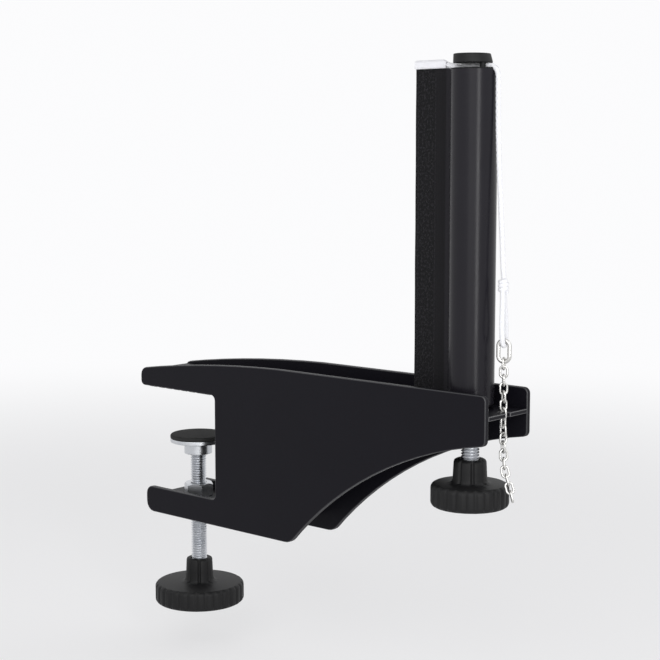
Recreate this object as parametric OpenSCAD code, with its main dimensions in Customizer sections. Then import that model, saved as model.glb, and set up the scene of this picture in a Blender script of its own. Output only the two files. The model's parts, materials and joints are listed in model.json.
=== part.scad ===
// Table tennis net clamp: a two-plate steel bracket that grips the table top, with a
// slotted net post, two screws with round knobs, a tension cord and its chain.
// X runs outwards along the net, Y along the table, Z up. The origin is the table's top
// edge: z = 0 is the table top, x = 0 its side edge and y = 0 the plane of the net.

/* [Bracket] */
// Width over the two side plates
bracket_w = 33; // [30:0.5:40]
// Thickness of a side plate
plate_t = 2.5; // [2:0.25:4]
// Thickness of the webs between the plates
web_t = 2; // [1.5:0.25:2.5]
// Height of the plates' top edge above the table top
plate_top = 17.8; // [16:0.2:22]
// Height of the top web's upper face above the table top
web_top = 8.8; // [8:0.2:9.4]
// Outer end of the bracket
bracket_end = 172; // [171:0.5:176]
// Reach of the upper jaw over the table
jaw_reach = 41; // [36:1:60]
// Reach of the lower arm under the table
arm_reach = 38; // [34:1:50]
// Depth of the lower arm's upper edge below the table top
arm_top = 50.5; // [46:0.5:54]
// Depth of the bracket's lowest edge below the table top
arm_bottom = 63.5; // [62:0.5:80]
// Distance from the table's edge to the back of the throat
throat_x = 12; // [8:1:20]

/* [Clamp screw] */
// Distance of the clamp screw from the table's edge
clamp_x = 17; // [15:1:20]
// Thickness of the table top that the clamp holds
table_t = 23.5; // [18:0.5:28]
// Diameter of the clamp knob
clamp_knob_d = 45; // [36:1:50]
// Depth of the clamp knob's lower face below the table top
clamp_knob_bottom = 110; // [105:1:115]

/* [Net post] */
// Distance of the post's axis from the table's edge
post_x = 152.5; // [150:0.5:153]
// Outer diameter of the post tube
post_d = 20; // [19:0.5:21]
// Height of the post tube's top above the table top
post_top = 152; // [145:0.5:160]
// Width of the slot that holds the net's end band
post_slot_w = 2.2; // [2:0.1:3]
// Diameter of the cord cap
cap_d = 16.6; // [16:0.2:18]
// Width of the net's end band beside the post
band_w = 20.5; // [12:0.5:30]

/* [Height screw] */
// Diameter of the height knob
height_knob_d = 34; // [28:1:34]
// Depth of the height knob's lower face below the table top
height_knob_bottom = 34; // [34:0.5:36]

/* [Cord and chain] */
// Diameter of the tension cord
cord_d = 2.2; // [1.8:0.1:2.4]
// Wire diameter of the chain's links
link_wire = 1; // [0.8:0.1:1.1]

/* [Hidden] */
$fn = 48;
eps = 0.01;

satin_black = [0.10, 0.10, 0.11];
moulded_black = [0.14, 0.14, 0.15];
rubber_grey = [0.20, 0.20, 0.21];
zinc = [0.72, 0.73, 0.75];
cloth_black = [0.07, 0.07, 0.08];
cloth_white = [0.90, 0.90, 0.88];

// Side plates: the outline's corners and long curves
inner_w = bracket_w - 2 * plate_t;
jaw_tip_top = 9.5;         // height of the jaw's upper edge at its tip
jaw_edge = 0.8;            // the plates' lower edge at the jaw, above the pad's face
top_bend_x = 67;           // where the top edge starts to fall towards the jaw
heel_x = 61.5;             // the lowest corner
end_bottom = -3.3;         // the lower edge at the outer end
belly_r = 190;             // radius of the hollow curve from the heel to the outer end
corner_r = 2.5;
heel_r = 8;
belly_steps = 14;
top_steps = 8;

// Webs, pad and nuts
web_under = web_top - web_t;
lower_web_z = -57;         // underside of the lower web
lower_web_end = 52;
nut_af = 13;               // across the flats
nut_h = 6.5;
screw_r = 4;               // M8
running = 0.05;            // radial clearance of a running fit
web_hole_r = screw_r + 0.35;
jaw_pad_outer = 6;
jaw_pad_w = inner_w - 1;

// Clamp screw and its pressure foot
pin_r = 3;                 // the turned-down end of both screws
foot_r = 14;
foot_boss_r = 7;
foot_boss_h = 6;
foot_plate_t = 2;
foot_pad_t = 2;
foot_top = -table_t;
foot_seat = foot_top - foot_pad_t - foot_plate_t;
foot_bottom = foot_seat - foot_boss_h;
rivet_r = 4.5;
rivet_h = 1.2;
rivet_seat_h = 2.9;        // depth of the counterbore over the rivet head
head_h = 5.3;
plug_h = 2;                // thickness of the plug under a knob
knob_disc_h = 10;
clamp_hub_d = 14;
clamp_hub_h = 12.5;
knob_pocket_d = 18;

// Post and its inner parts
post_r = post_d / 2;
post_wall = 1.5;
post_bore_r = post_r - post_wall;
post_gap = 2.05;           // height of the tube's end over the web
post_bottom = web_top + post_gap;
insert_r = post_bore_r - 0.05;
guide_r = 6.5;
guide_top = 34;
foot_h = 20;
core_bottom = 44;
core_h = 12;
clip_gap = 0.1;
clip_t = 1;
clip_r = 4.3;
clip_groove_r = 2.4;
pin_end = core_bottom + core_h + 2.5;
plug_top = post_top + 0.4;
plug_depth = 12;
plug_flat_x = -4.3;        // the inserts are cut off here to let the band's pocket pass
stem_x = 5.6;              // the cap's stem, from the post's axis
stem_y = -1.9;
stem_r = 1.2;
cap_under = post_top + 2.5;
cap_h = 3.9;
cap_back = 0.8;            // the cap sits back from the outer rim, where the cord turns
cap_lean = 0.5;            // the cap's outer side leans in by twice this
cap_lip = 0.6;
spigot_r = 0.8;
spigot_h = 1.5;

// Band, rod and tape
rod_r = 1.5;
rod_x = post_x - 6.5;
rod_bottom = 37;
rod_top = 150;
pocket_r = 1.9;
band_t = 1;
band_bottom = 12.5;
band_x = post_x - post_r - band_w;
band_rise = 0.8;           // the band stands this much higher under the tape
tape_end = 138.5;
tape_h = 3.8;
tape_t = 3.4;

// Height screw
height_hub_h = 10.6;
height_hub_d = 15;

// Cord: its route from the tape, over the post's top and down to the eye in the ring
cord_y = 0.8;
groove_w = 2.6;
groove_floor = post_top - 0.1;
mouth_w = 3.6;             // the groove is wider where the cord comes in
mouth_y = 0.4;
mouth_l = 7;
chain_x = 169.4;
ring_turn = 20;            // turn of the ring's plane about the vertical
cord_sides = 8;
over_top = [
    [138.5, 0, 154.2], [139.2, 0, 154.2], [140.4, 0, 153.95], [141.9, 0.1, 153.5],
    [143.6, 0.3, 153.25], [146, 0.6, 153.2], [150, 0.8, 153.2], [155, 0.8, 153.2],
    [159.4, 0.8, 153.2], [161, 0.8, 153.05], [162.4, 0.8, 152.35], [163.5, 0.8, 151.1],
    [164.1, 0.8, 149.4], [164.2, 0.8, 146]
];
down_side = [
    [164.3, 0.8, 138], [164.5, 0.7, 131], [164.8, 0.6, 124], [165.2, 0.5, 117],
    [165.6, 0.4, 110], [166.1, 0.3, 103], [166.6, 0.3, 96], [167.1, 0.2, 89],
    [167.6, 0.2, 82], [168, 0.1, 75], [168.4, 0.1, 69], [168.6, 0.4, 65]
];
// The eye: distance to each side of its middle line, and height
eye_side = [
    [1.2, 61.5], [1.4, 57.5], [2, 53], [2.8, 48], [3.1, 43.5], [2.8, 40.2], [1.7, 37.9]
];
eye_bottom = 37.1;
knot_z = 62;
knot_x = 168.7;

// Chain: link 0 lies across the slot under the web, and the taut part turns as it rises
taut_links = 8;
link_l = 3.75;             // inner length of a link
link_w = 2;                // inner width of a link
link_gap = 0.2;            // free play between two links
link_pitch = link_l - link_gap;
link_bend = (link_w + link_wire) / 2;
link_straight = link_l - link_w;
link_outer_r = link_w / 2 + link_wire;
chain_slot_w = 3.2;
chain_slot_x = chain_x - link_outer_r - 0.3 + chain_slot_w / 2;
first_link_z = web_under - 0.05 - sqrt(pow(link_outer_r, 2) - pow(chain_slot_w / 2, 2))
    - link_straight / 2;
top_link_z = first_link_z + (taut_links - 1) * link_pitch;
link_turn = (90 - ring_turn) / (taut_links - 1);
ring_wire = 1.8;
ring_l = 7.2;              // inner length of the oval ring
ring_w = 3;
ring_bend = (ring_w + ring_wire) / 2;
ring_z = top_link_z + link_l / 2 - link_gap + ring_l / 2;
tail_tilts = [2, 2, 3, 3, 6, 16, 20, 20, 16];   // lean of each hanging link, in degrees
tail_pivot_z = first_link_z - link_straight / 2 - link_bend;
tail_hook = first_link_z - link_pitch / 2 - tail_pivot_z;

function unit(v) = v / norm(v);

// Points of the round at corner b of radius r, between the sides to a and to c
function round_corner(a, b, c, r) =
    let (u = unit(a - b), v = unit(c - b), half = acos(u * v) / 2)
    let (m = b + unit(u + v) * r / sin(half))
    let (p = b + u * r / tan(half) - m, q = b + v * r / tan(half) - m)
    let (from = atan2(p[1], p[0]), raw = atan2(q[1], q[0]) - from)
    let (sweep = raw > 180 ? raw - 360 : raw < -180 ? raw + 360 : raw)
    [for (i = [0:4]) m + r * [cos(from + sweep * i / 4), sin(from + sweep * i / 4)]];

// Outline through corners given as [x, z, radius]; a radius of 0 keeps the point
function outline(corners) =
    let (n = len(corners), at = [for (c = corners) [c[0], c[1]]])
    [for (i = [0:n - 1]) each corners[i][2] == 0
        ? [at[i]]
        : round_corner(at[(i + n - 1) % n], at[i], at[(i + 1) % n], corners[i][2])];

// Inner points of the hollow curve from a to b, of radius r, bulging up and inwards
function belly(a, b, r, steps) =
    let (mid = (a + b) / 2, along = unit(b - a), half = norm(b - a) / 2)
    let (up = [-along[1], along[0]], centre = mid - up * sqrt(r * r - half * half))
    let (reach = asin(half / r))
    [for (i = [1:steps - 1]) let (t = -reach + 2 * reach * i / steps)
        concat(centre + r * (up * cos(t) + along * sin(t)), [0])];

// Inner points of the jaw's upper edge, which falls ever more steeply to the tip
function jaw_crest(steps) =
    let (run = top_bend_x + jaw_reach, drop = plate_top - jaw_tip_top)
    let (r = (run * run + drop * drop) / (2 * drop))
    [for (i = [0:steps - 1]) let (d = run * i / steps)
        [top_bend_x - d, plate_top - r + sqrt(r * r - d * d), 0]];

plate_corners = concat(
    [
        [-jaw_reach, jaw_edge, corner_r], [throat_x, jaw_edge, corner_r],
        [throat_x, -arm_top, corner_r], [-arm_reach, -arm_top, 4],
        [-arm_reach, -arm_bottom, 5], [heel_x, -arm_bottom, heel_r]
    ],
    belly([heel_x, -arm_bottom], [bracket_end, end_bottom], belly_r, belly_steps),
    [[bracket_end, end_bottom, corner_r], [bracket_end, plate_top, corner_r]],
    jaw_crest(top_steps),
    [[-jaw_reach, jaw_tip_top, 4]]
);

module side_plate(y) {
    color(satin_black)
        translate([0, y + plate_t, 0]) rotate([90, 0, 0])
            linear_extrude(plate_t) polygon(outline(plate_corners));
}

module front_side_plate() side_plate(-bracket_w / 2);

module rear_side_plate() side_plate(bracket_w / 2 - plate_t);

// The shelf between the plates, with the screw's hole and the chain's slot
module top_web() {
    color(satin_black) difference() {
        translate([-jaw_reach + 2, -inner_w / 2, web_under])
            cube([bracket_end + jaw_reach - 2, inner_w, web_t]);
        translate([post_x, 0, web_under - 1]) cylinder(r = web_hole_r, h = web_t + 2);
        translate([chain_slot_x, 0, web_under - 1]) {
            cylinder(d = chain_slot_w, h = web_t + 2);
            translate([0, -chain_slot_w / 2, 0])
                cube([bracket_end, chain_slot_w, web_t + 2]);
        }
    }
}

module throat_web() {
    bottom = lower_web_z + web_t;
    color(satin_black)
        translate([throat_x + 2, -inner_w / 2, bottom])
            cube([web_t, inner_w, web_under - bottom]);
}

module lower_web() {
    color(satin_black) difference() {
        translate([-arm_reach + 2, -inner_w / 2, lower_web_z])
            cube([arm_reach - 2 + lower_web_end, inner_w, web_t]);
        translate([-clamp_x, 0, lower_web_z - 1]) cylinder(r = web_hole_r, h = web_t + 2);
    }
}

// Ribbed rubber pad that rests on the table
module jaw_pad() {
    rib_pitch = 5.5;
    rib_gap = 1.2;
    color(rubber_grey) difference() {
        translate([-jaw_reach + 3, -jaw_pad_w / 2, 0])
            cube([jaw_reach - 3 + jaw_pad_outer, jaw_pad_w, web_under]);
        for (x = [-jaw_reach + 3 + rib_pitch:rib_pitch:-2], y = [-1, 1])
            translate([x, y * jaw_pad_w / 2 - rib_gap / 2, -1])
                cube([rib_gap, rib_gap, web_under + 2]);
    }
}

// Hexagon nut standing on z = 0
module weld_nut() {
    color(zinc) difference() {
        cylinder(d = nut_af / cos(30), h = nut_h, $fn = 6);
        translate([0, 0, -1]) cylinder(r = screw_r + running, h = nut_h + 2);
    }
}

module clamp_nut() translate([-clamp_x, 0, lower_web_z + web_t]) weld_nut();

module height_nut() translate([post_x, 0, web_under - nut_h]) weld_nut();

// Tube welded to the web, over which the post slides
module guide_tube() {
    color(zinc) translate([post_x, 0, web_top]) difference() {
        cylinder(r = guide_r, h = guide_top - web_top);
        translate([0, 0, -1]) cylinder(r = web_hole_r, h = guide_top);
    }
}

// Oval of wire, upright in the XZ plane and centred on the origin
module wire_oval(wire, bend, straight) {
    for (side = [-1, 1])
        translate([side * bend, 0, 0])
            cylinder(d = wire, h = straight, center = true, $fn = 20);
    for (end = [0, 1])
        mirror([0, 0, end]) translate([0, 0, straight / 2]) rotate([90, 0, 0])
            rotate_extrude(angle = 180, $fn = 32)
                translate([bend, 0]) circle(d = wire, $fn = 20);
}

// Chain link whose plane is turned about the vertical
module chain_link(turn) rotate([0, 0, turn]) wire_oval(link_wire, link_bend, link_straight);

module tension_chain() {
    color(zinc) for (i = [0:taut_links - 1])
        translate([chain_x, 0, first_link_z + i * link_pitch])
            chain_link(90 * ((i + 1) % 2) - link_turn * i);
}

// Upper end of the tail's link i, in the XZ plane
function tail_point(i) = i == 0
    ? [chain_x, tail_pivot_z] - tail_hook * [sin(tail_tilts[0]), -cos(tail_tilts[0])]
    : tail_point(i - 1) + link_pitch * [sin(tail_tilts[i - 1]), -cos(tail_tilts[i - 1])];

module chain_tail() {
    color(zinc) for (i = [0:len(tail_tilts) - 1]) {
        middle = (tail_point(i) + tail_point(i + 1)) / 2;
        translate([middle[0], 0, middle[1]]) rotate([0, -tail_tilts[i], 0])
            chain_link(90 * (i % 2) - link_turn * min(i + 1, 5));
    }
}

// Oval ring that joins the chain to the cord's eye
module tension_ring() {
    color(zinc) translate([chain_x, 0, ring_z]) rotate([0, 0, ring_turn])
        wire_oval(ring_wire, ring_bend, ring_l - ring_w);
}

// Steel cup that swivels on the clamp screw's riveted end
module pressure_plate() {
    color(zinc) translate([-clamp_x, 0, 0]) difference() {
        union() {
            translate([0, 0, foot_seat]) cylinder(r = foot_r, h = foot_plate_t);
            translate([0, 0, foot_bottom]) cylinder(r = foot_boss_r, h = foot_boss_h + 1);
        }
        translate([0, 0, foot_bottom - 1])
            cylinder(r = pin_r + running, h = foot_boss_h + foot_plate_t + 2);
        translate([0, 0, foot_seat + foot_plate_t - rivet_seat_h])
            cylinder(r = rivet_r + 0.3, h = rivet_seat_h + 1);
    }
}

module pressure_pad() {
    color(rubber_grey) translate([-clamp_x, 0, foot_top - foot_pad_t])
        rotate_extrude() polygon([
            [0, 0], [foot_r, 0], [foot_r, foot_pad_t - 0.6],
            [foot_r - 0.6, foot_pad_t], [0, foot_pad_t]
        ]);
}

// Threaded rod with its hexagon head at z = 0, shank up to the shoulder and a pin end
module screw_blank(shoulder, pin_top) {
    cylinder(d = nut_af / cos(30), h = head_h, $fn = 6);
    cylinder(r = screw_r, h = shoulder);
    cylinder(r = pin_r, h = pin_top);
}

module clamp_screw() {
    head_z = -clamp_knob_bottom + plug_h;
    rivet_z = foot_seat + foot_plate_t - rivet_seat_h + 0.1;
    color(zinc) translate([-clamp_x, 0, 0]) {
        translate([0, 0, head_z]) screw_blank(foot_bottom - head_z, rivet_z - head_z + eps);
        translate([0, 0, rivet_z]) cylinder(r = rivet_r, h = rivet_h);
    }
}

// Knob standing on z = 0: a grooved disc, a fluted hub, a pocket and the screw's bore
module knob(disc_d, hub_d, hub_h, grooves) {
    disc_r = disc_d / 2;
    hub_r = hub_d / 2;
    top = knob_disc_h + hub_h;
    round_r = 2;
    groove_r = 1.1;
    flute_r = 1.3;
    profile = concat(
        [[0, 0], [disc_r - round_r, 0]],
        [for (a = [-90:15:0]) [disc_r - round_r, round_r] + round_r * [cos(a), sin(a)]],
        [for (a = [0:15:90])
            [disc_r - round_r, knob_disc_h - round_r] + round_r * [cos(a), sin(a)]],
        [
            [hub_r + 0.8, knob_disc_h], [hub_r, knob_disc_h + 0.8],
            [hub_r - 0.5, top - 1], [hub_r - 1.5, top], [0, top]
        ]
    );
    color(moulded_black) difference() {
        rotate_extrude() polygon(profile);
        for (i = [0:grooves - 1]) rotate([0, 0, i * 360 / grooves])
            translate([disc_r + groove_r * 0.45, 0, -1])
                cylinder(r = groove_r, h = knob_disc_h + 2, $fn = 16);
        for (i = [0:7]) rotate([0, 0, i * 45 + 22.5])
            translate([hub_r + flute_r * 0.4, 0, knob_disc_h + 1.2])
                cylinder(r = flute_r, h = hub_h, $fn = 16);
        translate([0, 0, -1]) cylinder(d = knob_pocket_d, h = plug_h + 1);
        translate([0, 0, plug_h - eps])
            cylinder(d = nut_af / cos(30), h = head_h + eps, $fn = 6);
        translate([0, 0, 1]) cylinder(r = screw_r, h = top);
    }
}

module knob_plug(z) {
    color(moulded_black) translate([0, 0, z]) rotate_extrude() polygon([
        [0, 0.5], [knob_pocket_d / 2 - 2, 0], [knob_pocket_d / 2 - 0.5, 0],
        [knob_pocket_d / 2, 0.5], [knob_pocket_d / 2, plug_h], [0, plug_h]
    ]);
}

module clamp_knob() translate([-clamp_x, 0, -clamp_knob_bottom])
    knob(clamp_knob_d, clamp_hub_d, clamp_hub_h, 30);

module clamp_knob_plug() translate([-clamp_x, 0, 0]) knob_plug(-clamp_knob_bottom);

// 45 degree notch at the post's outer rim, in which the cord turns downwards
module cord_notch() {
    translate([post_r - 1.7, cord_y - groove_w / 2, groove_floor - post_top])
        rotate([0, 45, 0]) cube([6, groove_w, 6]);
}

// Round tube with the net slot on the table's side
module post_tube() {
    color(satin_black) difference() {
        translate([post_x, 0, post_bottom]) cylinder(r = post_r, h = post_top - post_bottom);
        translate([post_x, 0, post_bottom - 1]) cylinder(r = post_bore_r, h = post_top);
        translate([post_x - post_r - 1, -post_slot_w / 2, post_bottom - 1])
            cube([post_r, post_slot_w, post_top]);
        translate([post_x, 0, post_top]) cord_notch();
    }
}

// Bush in the tube's lower end that slides on the guide tube
module post_foot() {
    color(moulded_black) translate([post_x, 0, post_bottom]) difference() {
        cylinder(r = insert_r, h = foot_h);
        translate([0, 0, -1]) cylinder(r = guide_r + running, h = foot_h + 2);
    }
}

// Room for the band's pocket beside an insert
module pocket_cut(z, h) {
    translate([plug_flat_x - post_r, -post_r, z]) cube([post_r, post_d, h]);
}

// Block inside the tube that the height screw lifts and pulls down
module post_core() {
    color(moulded_black) translate([post_x, 0, core_bottom]) difference() {
        cylinder(r = insert_r, h = core_h);
        translate([0, 0, -1]) cylinder(r = pin_r + running, h = core_h + 2);
        pocket_cut(-1, core_h + 2);
    }
}

// Plug in the tube's top, with its flange, the cord's groove and the cap's stem
module post_plug() {
    flange_h = plug_top - post_top;
    color(moulded_black) translate([post_x, 0, post_top]) {
        difference() {
            union() {
                translate([0, 0, -plug_depth]) cylinder(r = insert_r, h = plug_depth);
                cylinder(r = post_r, h = flange_h);
            }
            pocket_cut(-plug_depth - 1, plug_depth + 1);
            translate([-post_r - 1, cord_y - groove_w / 2, groove_floor - post_top])
                cube([post_d + 2, groove_w, 2]);
            translate([-post_r - 1, mouth_y - mouth_w / 2, groove_floor - post_top])
                cube([mouth_l, mouth_w, 2]);
            cord_notch();
        }
        translate([stem_x, stem_y, 0]) {
            cylinder(r = stem_r, h = cap_under - post_top);
            cylinder(r = spigot_r, h = cap_under - post_top + spigot_h);
        }
    }
}

// Round cap that keeps the cord in its groove, upright towards the net and leaning outside
module cord_cap() {
    color(moulded_black) translate([post_x, 0, cap_under]) difference() {
        hull() {
            translate([-cap_back, 0, 0]) cylinder(d = cap_d, h = cap_lip);
            translate([-cap_back - cap_lean, 0, cap_lip])
                cylinder(d = cap_d - 2 * cap_lean, h = cap_h - cap_lip);
        }
        translate([stem_x, stem_y, -1]) cylinder(r = spigot_r, h = spigot_h + 1);
    }
}

module band_rod() {
    color(moulded_black) translate([rod_x, 0, rod_bottom])
        cylinder(r = rod_r, h = rod_top - rod_bottom);
}

// Woven end of the net, held in the post's slot by the rod in its pocket
module net_end_band() {
    in_slot = post_x - post_bore_r - 0.1;
    color(cloth_black) difference() {
        union() {
            translate([band_x, -band_t / 2, band_bottom])
                cube([in_slot - band_x, band_t, post_top - band_bottom]);
            translate([band_x, -band_t / 2, post_top - eps])
                cube([tape_end - band_x, band_t, band_rise + eps]);
            translate([in_slot - eps, -band_t / 2, rod_bottom])
                cube([rod_x - in_slot, band_t, rod_top - rod_bottom]);
            translate([rod_x, 0, rod_bottom])
                cylinder(r = pocket_r, h = rod_top - rod_bottom, $fn = 24);
        }
        translate([rod_x, 0, rod_bottom - 1])
            cylinder(r = rod_r, h = rod_top - rod_bottom + 2);
    }
}

// Short end of the net's top tape, folded over the cord
module net_tape_end() {
    color(cloth_white) translate([band_x, 0, post_top + band_rise + tape_h / 2]) rotate([90, 0, 90])
        linear_extrude(tape_end - band_x) polygon(outline([
            [-tape_t / 2, -tape_h / 2, 0.6], [tape_t / 2, -tape_h / 2, 0.6],
            [tape_t / 2, tape_h / 2, 1.5], [-tape_t / 2, tape_h / 2, 1.5]
        ]));
}

// Turns a point of the eye, [side, z], into place over the ring
function eye_point(side, z) =
    [chain_x, 0, z] + side * [-sin(ring_turn), cos(ring_turn), 0]
    + (z - eye_bottom) / (knot_z - eye_bottom) * [knot_x - chain_x, 0, 0];

cord_route = concat(
    over_top, down_side,
    [for (p = eye_side) eye_point(p[0], p[1])],
    [eye_point(0, eye_bottom)],
    [for (i = [len(eye_side) - 1:-1:0]) eye_point(-eye_side[i][0], eye_side[i][1])]
);

// Direction of the route at point i
function heading(route, i) =
    unit(route[min(i + 1, len(route) - 1)] - route[max(i - 1, 0)]);

// Cross-direction of the ring at point i, carried along the route without twist
function side_at(route, i) = i == 0
    ? [0, 1, 0]
    : let (before = side_at(route, i - 1), t = heading(route, i))
        unit(before - (before * t) * t);

// Round tube of diameter d along a route
module swept_tube(route, d, sides) {
    n = len(route);
    rings = [for (i = [0:n - 1])
        let (t = heading(route, i), u = side_at(route, i), v = cross(t, u))
        for (k = [0:sides - 1])
            route[i] + d / 2 * (u * cos(360 * k / sides) + v * sin(360 * k / sides))];
    walls = [for (i = [0:n - 2], k = [0:sides - 1])
        let (a = i * sides + k, b = i * sides + (k + 1) % sides)
        each [[a, a + sides, b], [b, a + sides, b + sides]]];
    ends = [
        [for (k = [0:sides - 1]) k],
        [for (k = [sides - 1:-1:0]) (n - 1) * sides + k]
    ];
    polyhedron(rings, concat(walls, ends));
}

module tension_cord() {
    color(cloth_white) swept_tube(cord_route, cord_d, cord_sides);
}

// Knot that closes the eye
module cord_knot() {
    color(cloth_white) translate([knot_x, 0, knot_z])
        rotate_extrude($fn = 16) polygon([
            [0, -3], [1.3, -2.8], [2.2, -1.6], [2.4, 0], [2.1, 1.5], [1.2, 2.8], [0, 3]
        ]);
}

module height_screw() {
    head_z = -height_knob_bottom + plug_h;
    groove_z = core_bottom + core_h + clip_gap;
    color(zinc) translate([post_x, 0, 0]) difference() {
        translate([0, 0, head_z]) screw_blank(core_bottom - head_z, pin_end - head_z);
        translate([0, 0, groove_z]) difference() {
            cylinder(r = pin_r + 1, h = clip_t);
            translate([0, 0, -1]) cylinder(r = clip_groove_r, h = clip_t + 2);
        }
    }
}

module height_knob() translate([post_x, 0, -height_knob_bottom])
    knob(height_knob_d, height_hub_d, height_hub_h, 24);

module height_knob_plug() translate([post_x, 0, 0]) knob_plug(-height_knob_bottom);

// Open ring that holds the height screw's pin in the core
module retaining_clip() {
    color(zinc) translate([post_x, 0, core_bottom + core_h + clip_gap]) difference() {
        cylinder(r = clip_r, h = clip_t);
        translate([0, 0, -1]) cylinder(r = clip_groove_r, h = clip_t + 2);
        translate([0, -clip_groove_r, -1]) cube([clip_r + 1, 2 * clip_groove_r, clip_t + 2]);
    }
}

front_side_plate();
rear_side_plate();
top_web();
throat_web();
lower_web();
jaw_pad();
clamp_nut();
height_nut();
guide_tube();
tension_ring();
tension_chain();
pressure_plate();
pressure_pad();
clamp_screw();
clamp_knob();
clamp_knob_plug();
post_tube();
post_foot();
post_core();
post_plug();
cord_cap();
band_rod();
net_end_band();
net_tape_end();
tension_cord();
cord_knot();
height_screw();
height_knob();
height_knob_plug();
retaining_clip();
chain_tail();
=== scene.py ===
# %% [markdown]
# # A table tennis net clamp
# Two black steel plates grip the edge of a table. At their outer end stands a slotted post,
# which holds the net's black end band. A white cord runs over the post and down to a short
# chain, and two screws with round knobs clamp the table and set the net's height.
# The construction comes packed, in metres. This lesson gives it its visible surfaces.

import json
import math

import bmesh
import bpy
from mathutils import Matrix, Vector, noise

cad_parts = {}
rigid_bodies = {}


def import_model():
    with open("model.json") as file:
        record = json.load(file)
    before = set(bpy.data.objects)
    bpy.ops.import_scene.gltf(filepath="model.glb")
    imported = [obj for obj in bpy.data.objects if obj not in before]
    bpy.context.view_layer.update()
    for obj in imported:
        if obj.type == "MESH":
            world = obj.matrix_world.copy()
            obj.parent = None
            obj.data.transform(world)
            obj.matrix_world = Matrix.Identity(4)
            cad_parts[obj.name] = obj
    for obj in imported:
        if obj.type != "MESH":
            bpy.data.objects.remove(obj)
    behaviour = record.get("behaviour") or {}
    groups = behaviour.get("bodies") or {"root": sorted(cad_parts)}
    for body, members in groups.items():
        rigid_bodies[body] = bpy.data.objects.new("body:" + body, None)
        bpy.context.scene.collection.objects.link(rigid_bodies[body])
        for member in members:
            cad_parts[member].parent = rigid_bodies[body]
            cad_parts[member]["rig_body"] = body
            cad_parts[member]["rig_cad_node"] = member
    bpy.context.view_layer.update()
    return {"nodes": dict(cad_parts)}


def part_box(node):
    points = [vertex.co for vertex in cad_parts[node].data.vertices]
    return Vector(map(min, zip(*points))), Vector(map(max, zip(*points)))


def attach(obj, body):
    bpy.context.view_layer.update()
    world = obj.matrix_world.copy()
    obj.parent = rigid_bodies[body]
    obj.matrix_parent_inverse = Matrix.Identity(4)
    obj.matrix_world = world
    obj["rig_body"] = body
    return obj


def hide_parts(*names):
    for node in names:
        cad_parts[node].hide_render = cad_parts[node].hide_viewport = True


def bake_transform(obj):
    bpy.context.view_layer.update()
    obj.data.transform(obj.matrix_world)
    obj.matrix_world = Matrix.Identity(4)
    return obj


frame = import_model()
nodes = frame["nodes"]
bpy.ops.object.select_all(action="DESELECT")
scene = bpy.context.scene
scene.view_settings.view_transform = "Standard"
MM = 0.001

# %% [markdown]
# ## The camera
# A clamp this small could be drawn with any lens. A long one, a little below the net's top,
# keeps the uprights nearly upright and still shows the depth between the two plates.

# %% Camera
EYE = Vector((0.5289, -0.5157, 0.1180))
AIM = Vector((0.072, 0.0, 0.036))
LENS = 82
camera_data = bpy.data.cameras.new("camera")
camera_data.lens = LENS
camera_data.clip_start = 0.01
camera = bpy.data.objects.new("camera", camera_data)
scene.collection.objects.link(camera)
camera.location = EYE
camera.rotation_euler = (AIM - EYE).to_track_quat("-Z", "Y").to_euler()
scene.camera = camera
print("the camera stands", round((AIM - EYE).length, 3), "m from what it looks at")

# %% [markdown]
# ## Places and sizes that several pieces share
# Each is read from a node's own box, so that what is made here sits on what carries it.

# %% Shared places
post_low, post_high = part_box("post_tube")
post_x = (post_low.x + post_high.x) / 2
post_r = (post_high.x - post_low.x) / 2
foot_low, foot_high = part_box("pressure_plate")
clamp_x = (foot_low.x + foot_high.x) / 2
band_low, band_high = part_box("net_end_band")
tape_low, tape_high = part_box("net_tape_end")
print("post at x =", round(post_x / MM, 2), "mm, clamp screw at x =", round(clamp_x / MM, 2), "mm")


# %% [markdown]
# ## Small tools of the bench
# An operator acts on whatever is selected, so each step first says which piece it works on.
# Vertices are then picked by their place, as a hand would box-select them.

# %% Selecting and finishing
def work_on(piece):
    """Select one piece alone and make it the active one."""
    bpy.ops.object.select_all(action="DESELECT")
    piece.select_set(True)
    bpy.context.view_layer.objects.active = piece


def added(name):
    """Name the primitive that was just added and move its place into its mesh."""
    piece = bpy.context.active_object
    piece.name = name
    piece.data.name = name
    work_on(piece)
    bpy.ops.object.transform_apply(location=True, rotation=True, scale=True)
    return piece


def pick(piece, test):
    """In edit mode, select the vertices that pass the test, with what lies between them."""
    bpy.ops.mesh.select_all(action="DESELECT")
    mesh = bmesh.from_edit_mesh(piece.data)
    for vertex in mesh.verts:
        vertex.select = test(vertex.co)
    mesh.select_flush(True)
    bmesh.update_edit_mesh(piece.data)


def apply_modifier(piece, kind, **settings):
    """Add a modifier of this kind with these settings, and apply it at once."""
    modifier = piece.modifiers.new(kind.lower(), kind)
    for name, value in settings.items():
        setattr(modifier, name, value)
    work_on(piece)
    bpy.ops.object.modifier_apply(modifier=modifier.name)


def joined(name, pieces):
    """Join several pieces into one object of this name."""
    work_on(pieces[0])
    for piece in pieces[1:]:
        piece.select_set(True)
    bpy.ops.object.join()
    pieces[0].name = name
    pieces[0].data.name = name
    return pieces[0]


def smooth(piece, degrees=35):
    """Shade smoothly across every edge that is blunter than this."""
    work_on(piece)
    bpy.ops.object.shade_smooth_by_angle(angle=math.radians(degrees))


def dress(piece, body, slot, material, *replaced):
    """Give a finished piece its material, its body and the nodes it stands for."""
    if material.name not in piece.data.materials:
        piece.data.materials.clear()
        piece.data.materials.append(material)
    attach(piece, body)
    if replaced:
        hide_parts(*replaced)
    print(piece.name, "has", len(piece.data.polygons), "faces and rides on", body)


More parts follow.
